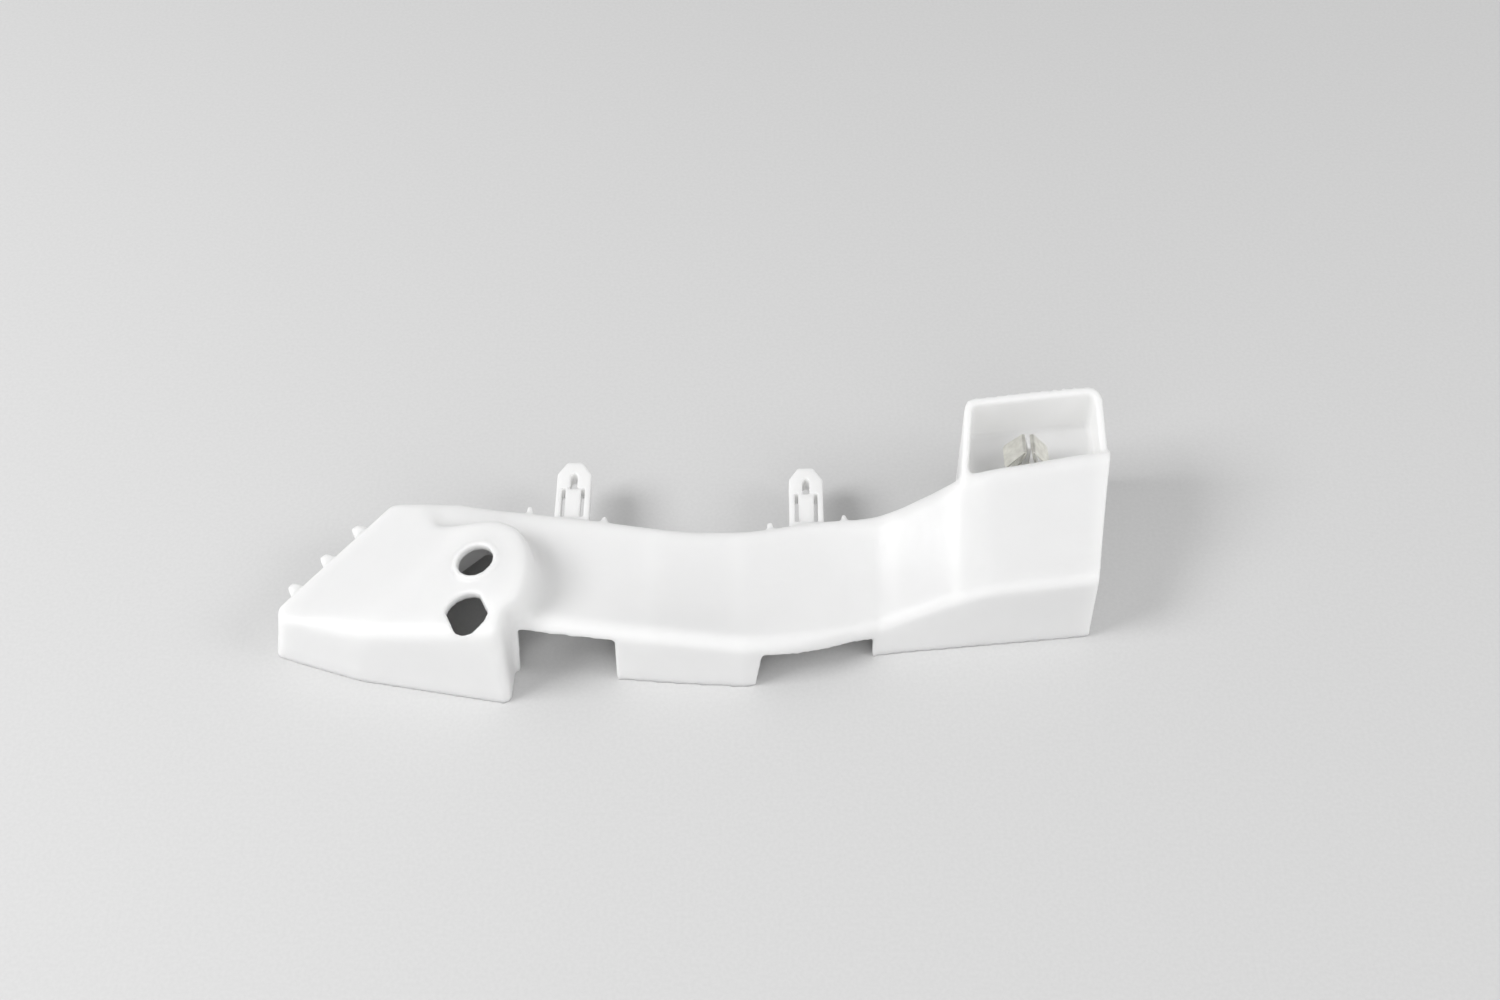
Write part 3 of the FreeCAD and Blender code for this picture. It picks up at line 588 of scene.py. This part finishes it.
FOOT_HALF = 4.3 * MM
FOOT_BEND = (0.6 * MM, 0.5 * MM)
FOOT_LEVEL = 0.1 * MM
APEX_HALF = 0.95 * MM
APEX_HEIGHT = 11.5 * MM
APEX_RADIUS = 0.45 * MM
APEX_STEPS = 5
APEX_START = 170.0
APEX_END = 45.0
STRIP_CUTS = 23
TIP_SPREAD = 1.22
TIP_CORNER = 1.6 * MM
TIP_CUTS = (22.0, 45.0, 68.0)
EDGE_ROUND = 0.08 * MM
BLADE_ROOM = (1.0 * MM, 2.3 * MM)
BARB_UP = 0.46
BARB_SIZE = (0.8 * MM, 1.6 * MM)
BARB_DEPTH = 0.9 * MM


def strip_path(look):
    """Points of the strip from the middle of its foot, up the leg, round the bend and down the leaf."""
    points = [(0.0, 0.0), (FOOT_HALF - FOOT_BEND[0], 0.0), (FOOT_HALF, FOOT_BEND[1])]
    top = (APEX_HALF + APEX_RADIUS, APEX_HEIGHT - APEX_RADIUS)
    for step in range(APEX_STEPS + 1):
        turn = math.radians(APEX_START + (APEX_END - APEX_START) * step / APEX_STEPS)
        points.append((top[0] + APEX_RADIUS * math.cos(turn), top[1] + APEX_RADIUS * math.sin(turn)))
    points.append((look.leaf_reach, APEX_HEIGHT - look.leaf_drop))
    return points


def strip_half(look):
    """Right half of the strip as one sheet, drawn out edge by edge."""
    path = strip_path(look)
    bpy.ops.object.select_all(action="DESELECT")
    bpy.ops.mesh.primitive_plane_add(size=1.0, location=(path[1][0] / 2, 0, 0))
    sheet = bpy.context.object
    sheet.name = "folded_spring_clip"
    sheet.scale = (path[1][0], look.strip_width, 1)
    bpy.ops.object.transform_apply(location=True, rotation=True, scale=True)
    bpy.ops.object.mode_set(mode="EDIT")
    bpy.ops.mesh.select_all(action="DESELECT")
    bpy.ops.object.mode_set(mode="OBJECT")
    for edge in sheet.data.edges:
        edge.select = all(sheet.data.vertices[i].co.x > path[1][0] - TOUCHING for i in edge.vertices)
    bpy.ops.object.mode_set(mode="EDIT")
    bpy.ops.mesh.select_mode(type="EDGE")
    for before, here in zip(path[1:], path[2:]):
        step = (here[0] - before[0], 0, here[1] - before[1])
        bpy.ops.mesh.extrude_edges_move(TRANSFORM_OT_translate={"value": step})
    bpy.ops.transform.resize(
        value=(1, TIP_SPREAD, 1), center_override=(path[-1][0], 0, path[-1][1]))
    bpy.ops.mesh.select_all(action="SELECT")
    bpy.ops.mesh.subdivide(number_cuts=STRIP_CUTS)
    bpy.ops.object.mode_set(mode="OBJECT")
    return sheet


def round_leaf(sheet, side):
    """Trims the corner on one side of the leaf's tip with a few straight cuts."""
    tip = max(vertex.co.x for vertex in sheet.data.vertices)
    low = min(vertex.co.z for vertex in sheet.data.vertices if vertex.co.x > tip - TOUCHING)
    edge = max(vertex.co.y for vertex in sheet.data.vertices) * side
    down = Vector((1, 0, -1)).normalized()
    corner = Vector((tip, edge, low)) - down * TIP_CORNER - Vector((0, TIP_CORNER * side, 0))
    pick_only(sheet)
    bpy.ops.object.mode_set(mode="EDIT")
    for turn in TIP_CUTS:
        out = down * math.cos(math.radians(turn)) + Vector((0, side * math.sin(math.radians(turn)), 0))
        bpy.ops.mesh.select_all(action="SELECT")
        bpy.ops.mesh.bisect(
            plane_co=corner + out * TIP_CORNER, plane_no=out, clear_outer=True)
    bpy.ops.object.mode_set(mode="OBJECT")


def press_barb(sheet):
    """Presses a small drop-shaped barb into the leaf."""
    leaf = [vertex for vertex in sheet.data.vertices if vertex.co.x > APEX_HALF + APEX_RADIUS * 2]
    tip = max(vertex.co.x for vertex in leaf)
    low = min(vertex.co.z for vertex in leaf)
    start = Vector((APEX_HALF + APEX_RADIUS, 0, APEX_HEIGHT))
    middle = start.lerp(Vector((tip, 0, low)), BARB_UP)
    inward = Vector((middle.z - start.z, 0, start.x - middle.x)).normalized()
    for vertex in leaf:
        away = vertex.co - middle
        along_leaf = math.hypot(away.x, away.z) / BARB_SIZE[1]
        depth = 1.0 - math.hypot(along_leaf, away.y / BARB_SIZE[0])
        if depth > 0:
            vertex.co += inward * BARB_DEPTH * depth


def slot_foot(sheet):
    """Opens the slot of the foot that the blade stands in."""
    pick_only(sheet)
    bpy.ops.object.mode_set(mode="EDIT")
    bpy.ops.mesh.select_all(action="DESELECT")
    bpy.ops.object.mode_set(mode="OBJECT")
    for face in sheet.data.polygons:
        middle = face.center
        face.select = (
            abs(middle.z) < FOOT_LEVEL and abs(middle.x) < BLADE_ROOM[0]
            and abs(middle.y) < BLADE_ROOM[1])
    bpy.ops.object.mode_set(mode="EDIT")
    bpy.ops.mesh.select_mode(type="FACE")
    bpy.ops.mesh.delete(type="FACE")
    bpy.ops.object.mode_set(mode="OBJECT")


def set_in_pocket(clip):
    """Sets the clip on the pocket's floor, where the CAD clip stands."""
    low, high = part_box("spring_clip")
    middle = [(a + b) / 2 for a, b in zip(low, high)]
    foot = min(vertex.co.z for vertex in clip.data.vertices)
    pick_only(clip)
    clip.location = (middle[0], middle[1], low[2] - foot)
    bpy.ops.object.transform_apply(location=True, rotation=True, scale=True)


class BRACKET_OT_stage(Operator):
    """Lays the paper floor and sets the lamps, the room and the camera"""
    bl_idname = "bracket.stage"
    bl_label = "Stage"

    def execute(self, context):
        studio = context.scene.bracket_studio
        bpy.ops.object.select_all(action="DESELECT")
        bpy.ops.mesh.primitive_plane_add(size=studio.floor_size, location=(0, 0, 0))
        floor = context.object
        floor.name = "paper_floor"
        give(floor, paper_floor(context.scene.bracket_look))
        add_lamp("lamp_left", studio, LEFT_LAMP, studio.side_size, studio.left_power)
        add_lamp("lamp_right", studio, RIGHT_LAMP, studio.side_size, studio.right_power)
        add_lamp("lamp_front", studio, FRONT_LAMP, studio.front_size, studio.front_power)
        light_room(context.scene, studio.world_level)
        place_camera(context.scene, studio)
        context.scene.view_settings.view_transform = "Standard"
        return {"FINISHED"}


# Lamps: turned from the front to the right and raised, in degrees, and the place they point at

LEFT_LAMP = (-78.0, 43.0)
RIGHT_LAMP = (78.0, 36.0)
FRONT_LAMP = (0.0, 24.0)
LAMP_TARGET = (0, 0, 20 * MM)


def add_lamp(name, studio, stand, size, power):
    """One square lamp at its stand."""
    away, up = (math.radians(turn) for turn in stand)
    flat = studio.light_reach * math.cos(up)
    place = (flat * math.sin(away), -flat * math.cos(away), studio.light_reach * math.sin(up))
    bpy.ops.object.light_add(type="AREA", location=place)
    lamp = bpy.context.object
    lamp.name = name
    lamp.data.size = size
    lamp.data.energy = power
    aim(lamp, LAMP_TARGET)


def aim(thing, target):
    """Turns a lamp so that it points at a place."""
    toward = [t - p for t, p in zip(target, thing.location)]
    flat = math.hypot(toward[0], toward[1])
    thing.rotation_euler = (
        math.pi / 2 + math.atan2(toward[2], flat), 0, math.atan2(toward[1], toward[0]) - math.pi / 2)


def light_room(scene, level):
    """A plain white room that lights the bracket from all sides."""
    world = bpy.data.worlds.new("white_room")
    scene.world = world
    world.use_nodes = True
    background = world.node_tree.nodes["Background"]
    background.inputs["Color"].default_value = (1, 1, 1, 1)
    background.inputs["Strength"].default_value = level


def place_camera(scene, studio):
    """The camera at the photograph's viewing angle."""
    data = bpy.data.cameras.new("camera")
    data.lens = studio.camera_lens
    data.sensor_width = 36.0
    data.clip_start = 0.01
    data.clip_end = 20.0
    camera = bpy.data.objects.new("camera", data)
    scene.collection.objects.link(camera)
    camera.location = studio.camera_place
    camera.rotation_euler = (math.pi / 2 - studio.camera_down, 0, 0)
    scene.camera = camera


class BRACKET_PT_panel(Panel):
    """Lists the bracket's pieces and settings"""
    bl_label = "Bumper bracket"
    bl_idname = "BRACKET_PT_panel"
    bl_space_type = "VIEW_3D"
    bl_region_type = "UI"
    bl_category = "Bumper bracket"

    def draw(self, context):
        for operator in OPERATORS:
            self.layout.operator(operator.bl_idname)
        for settings in (context.scene.bracket_look, context.scene.bracket_studio):
            for name in settings.__annotations__:
                self.layout.prop(settings, name)


OPERATORS = (BRACKET_OT_moulding, BRACKET_OT_clip, BRACKET_OT_stage)
CLASSES = (LookSettings, StudioSettings, *OPERATORS, BRACKET_PT_panel)


def register():
    for cls in CLASSES:
        bpy.utils.register_class(cls)
    bpy.types.Scene.bracket_look = PointerProperty(type=LookSettings)
    bpy.types.Scene.bracket_studio = PointerProperty(type=StudioSettings)


def unregister():
    del bpy.types.Scene.bracket_studio
    del bpy.types.Scene.bracket_look
    for cls in reversed(CLASSES):
        bpy.utils.unregister_class(cls)


def main():
    register()
    bpy.ops.bracket.moulding()
    bpy.ops.bracket.clip()
    bpy.ops.bracket.stage()


if __name__ == "__main__":
    main()
